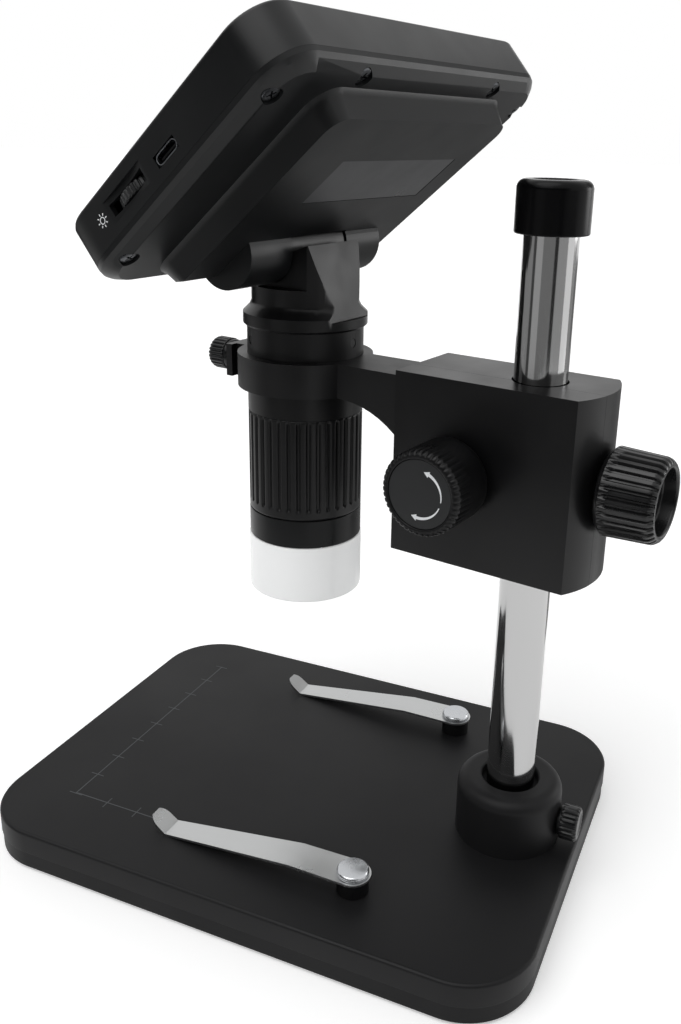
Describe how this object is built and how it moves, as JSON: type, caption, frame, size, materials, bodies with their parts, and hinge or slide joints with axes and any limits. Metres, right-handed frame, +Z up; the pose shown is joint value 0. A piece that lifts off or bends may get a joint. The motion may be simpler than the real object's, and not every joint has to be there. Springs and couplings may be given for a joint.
{
  "type": "lcd digital microscope",
  "caption": "Desktop digital microscope: tilting display head on a scope held by a ring arm that slides on a pole over a flat base with stage clips.",
  "frame": {"origin": "middle of the base's outline, on the surface it stands on", "axes": "+Z up; the user sits on the -Y side, the pole stands on the +Y side; +X is the side of the focus knob"},
  "size_m": [0.1585, 0.2083, 0.2652],
  "materials": {
    "base_paint": "fine satin black-grey paint",
    "plate_paint": "satin dark grey paint",
    "foot_rubber": "matt",
    "screw_steel": "plain",
    "screw_black": "blackened",
    "clip_steel": "bright spring steel",
    "clip_plastic": "black",
    "pole_chrome": "polished",
    "cap_gloss": "gloss black",
    "rack_steel": "machined",
    "block_plastic": "fine grain dark grey",
    "bush_plastic": "natural acetal",
    "arm_metal": "satin dark grey paint",
    "shaft_steel": "turned",
    "knob_plastic": "dark grey",
    "disc_plastic": "grey",
    "nut_brass": "plain",
    "pad_plastic": "white acetal",
    "barrel_metal": "anodised black",
    "nose_gloss": "gloss black",
    "cap_clear": "clear plastic",
    "board_green": "solder mask",
    "board_white": "white solder mask",
    "led_yellow": "lens and phosphor",
    "lens_tube": "matt black",
    "lens_glass": "coated",
    "neck_plastic": "fine grain dark grey",
    "pin_steel": "ground",
    "head_plastic": "fine grain dark grey",
    "window_gloss": "black bordered window",
    "lcd_metal": "module frame",
    "battery_foil": "foil pouch",
    "socket_steel": "plated",
    "wheel_plastic": "grey",
    "pot_plastic": "grey",
    "label_film": "blank grey label",
    "key_plastic": "black"
  },
  "bodies": {
    "base": {"base_cover": "base_paint", "base_plate": "plate_paint", "rubber_feet": "foot_rubber", "base_screws": "screw_steel", "clip_posts": "clip_plastic", "clip_screws": "clip_steel", "pole_socket": "base_paint", "socket_screws": "screw_steel"},
    "near_clip": {"clip_near": "clip_steel"},
    "far_clip": {"clip_far": "clip_steel"},
    "socket_thumbscrew": {"socket_clamp": "shaft_steel"},
    "pole": {"pole": "pole_chrome", "rack": "rack_steel", "pole_cap": "cap_gloss"},
    "carriage": {"carriage_near": "block_plastic", "carriage_far": "block_plastic", "carriage_screws": "screw_black", "guide_bushes": "bush_plastic", "arm": "arm_metal", "lock_nut": "nut_brass", "pressure_pad": "pad_plastic"},
    "focus_drive": {"pinion_shaft": "shaft_steel", "focus_knob": "knob_plastic", "knob_disc": "disc_plastic"},
    "lock": {"lock_knob": "knob_plastic", "lock_screw": "shaft_steel"},
    "ring_thumbscrew": {"ring_screw": "shaft_steel"},
    "scope": {"barrel": "barrel_metal", "nose_ring": "nose_gloss", "led_board": "board_white", "leds": "led_yellow", "sensor_board": "board_green", "neck": "neck_plastic", "neck_screws": "screw_black", "hinge_pin": "pin_steel", "hinge_washers": "pin_steel"},
    "focus_grip": {"focus_ring": "barrel_metal"},
    "lens": {"lens_carrier": "lens_tube", "front_lens": "lens_glass", "focus_pin": "pin_steel"},
    "nose_cap": {"clear_cap": "cap_clear"},
    "head": {"front_housing": "head_plastic", "rear_cover": "head_plastic", "cover_screws": "screw_black", "hinge_saddles": "pot_plastic", "saddle_screws": "screw_steel", "screen_window": "window_gloss", "lcd_panel": "lcd_metal", "main_board": "board_green", "battery": "battery_foil", "usb_socket": "socket_steel", "card_socket": "socket_steel", "dimmer_body": "pot_plastic", "rating_label": "label_film"},
    "dimmer": {"dimmer_wheel": "wheel_plastic"},
    "power_key": {"button_power": "key_plastic"},
    "menu_key": {"button_menu": "key_plastic"},
    "up_key": {"button_up": "key_plastic"},
    "down_key": {"button_down": "key_plastic"},
    "ok_key": {"button_ok": "key_plastic"}
  },
  "joints": [
    {"name": "near_clip_turn", "type": "hinge", "parent": "base", "child": "near_clip", "pos_m": [0.0475, 0.0365, 0.0205], "axis": [0, 0, 1], "range_deg": [-30, 15]},
    {"name": "far_clip_turn", "type": "hinge", "parent": "base", "child": "far_clip", "pos_m": [-0.0475, 0.0365, 0.0205], "axis": [0, 0, 1], "range_deg": [-15, 30]},
    {"name": "socket_screw_turn", "type": "hinge", "parent": "base", "child": "socket_thumbscrew", "pos_m": [-0.0014, 0.0912, 0.0227], "axis": [0, 1, 0], "range_deg": [0, 720]},
    {"name": "pole_turn", "type": "hinge", "parent": "base", "child": "pole", "pos_m": [-0.0014, 0.0712, 0.02], "axis": [0, 0, 1], "range_deg": [-25, 45]},
    {"name": "carriage_slide", "type": "slide", "parent": "pole", "child": "carriage", "axis": [0, 0, 1], "range_m": [-0.058, 0.038]},
    {"name": "focus_turn", "type": "hinge", "parent": "carriage", "child": "focus_drive", "pos_m": [-0.00448, 0.05339, 0.1404], "axis": [0.9854, -0.1702, 0], "range_deg": [-200, 300]},
    {"name": "lock_turn", "type": "hinge", "parent": "carriage", "child": "lock", "pos_m": [0.00371, 0.10076, 0.1404], "axis": [0.1702, 0.9854, 0], "range_deg": [0, 540]},
    {"name": "ring_screw_turn", "type": "hinge", "parent": "carriage", "child": "ring_thumbscrew", "pos_m": [-0.02097, -0.04212, 0.1605], "axis": [-0.1702, -0.9854, 0], "range_deg": [0, 720]},
    {"name": "scope_turn", "type": "hinge", "parent": "carriage", "child": "scope", "pos_m": [-0.01587, -0.01256, 0.1605], "axis": [0, 0, 1], "range_deg": [-20, 20]},
    {"name": "focus_ring_turn", "type": "hinge", "parent": "scope", "child": "focus_grip", "pos_m": [-0.01587, -0.01256, 0.13], "axis": [0, 0, 1], "range_deg": [-60, 60]},
    {"name": "lens_slide", "type": "slide", "parent": "scope", "child": "lens", "axis": [0, 0, 1], "range_m": [-0.0015, 0.0015]},
    {"name": "nose_cap_pull", "type": "slide", "parent": "scope", "child": "nose_cap", "axis": [0, 0, -1], "range_m": [0, 0.012]},
    {"name": "head_tilt", "type": "hinge", "parent": "scope", "child": "head", "pos_m": [-0.01665, -0.01709, 0.2001], "axis": [0.9854, -0.1702, 0], "range_deg": [-18, 12]},
    {"name": "dimmer_turn", "type": "hinge", "parent": "head", "child": "dimmer", "pos_m": [0.04295, -0.02866, 0.21902], "axis": [-0.1094, -0.6334, 0.766], "range_deg": [-135, 135]},
    {"name": "power_key_press", "type": "slide", "parent": "head", "child": "power_key", "axis": [0.1094, 0.6334, -0.766], "range_m": [0, 0.0005], "stiffness_N_per_m": 900, "springref_m": -0.0008},
    {"name": "menu_key_press", "type": "slide", "parent": "head", "child": "menu_key", "axis": [0.1094, 0.6334, -0.766], "range_m": [0, 0.0005], "stiffness_N_per_m": 900, "springref_m": -0.0008},
    {"name": "up_key_press", "type": "slide", "parent": "head", "child": "up_key", "axis": [0.1094, 0.6334, -0.766], "range_m": [0, 0.0005], "stiffness_N_per_m": 900, "springref_m": -0.0008},
    {"name": "down_key_press", "type": "slide", "parent": "head", "child": "down_key", "axis": [0.1094, 0.6334, -0.766], "range_m": [0, 0.0005], "stiffness_N_per_m": 900, "springref_m": -0.0008},
    {"name": "ok_key_press", "type": "slide", "parent": "head", "child": "ok_key", "axis": [0.1094, 0.6334, -0.766], "range_m": [0, 0.0005], "stiffness_N_per_m": 900, "springref_m": -0.0008}
  ],
  "couplings": [
    {"joint": "focus_turn", "follows": "carriage_slide", "rad_per_m": -89.286},
    {"joint": "lens_slide", "follows": "focus_ring_turn", "m_per_rad": 0.001432}
  ]
}
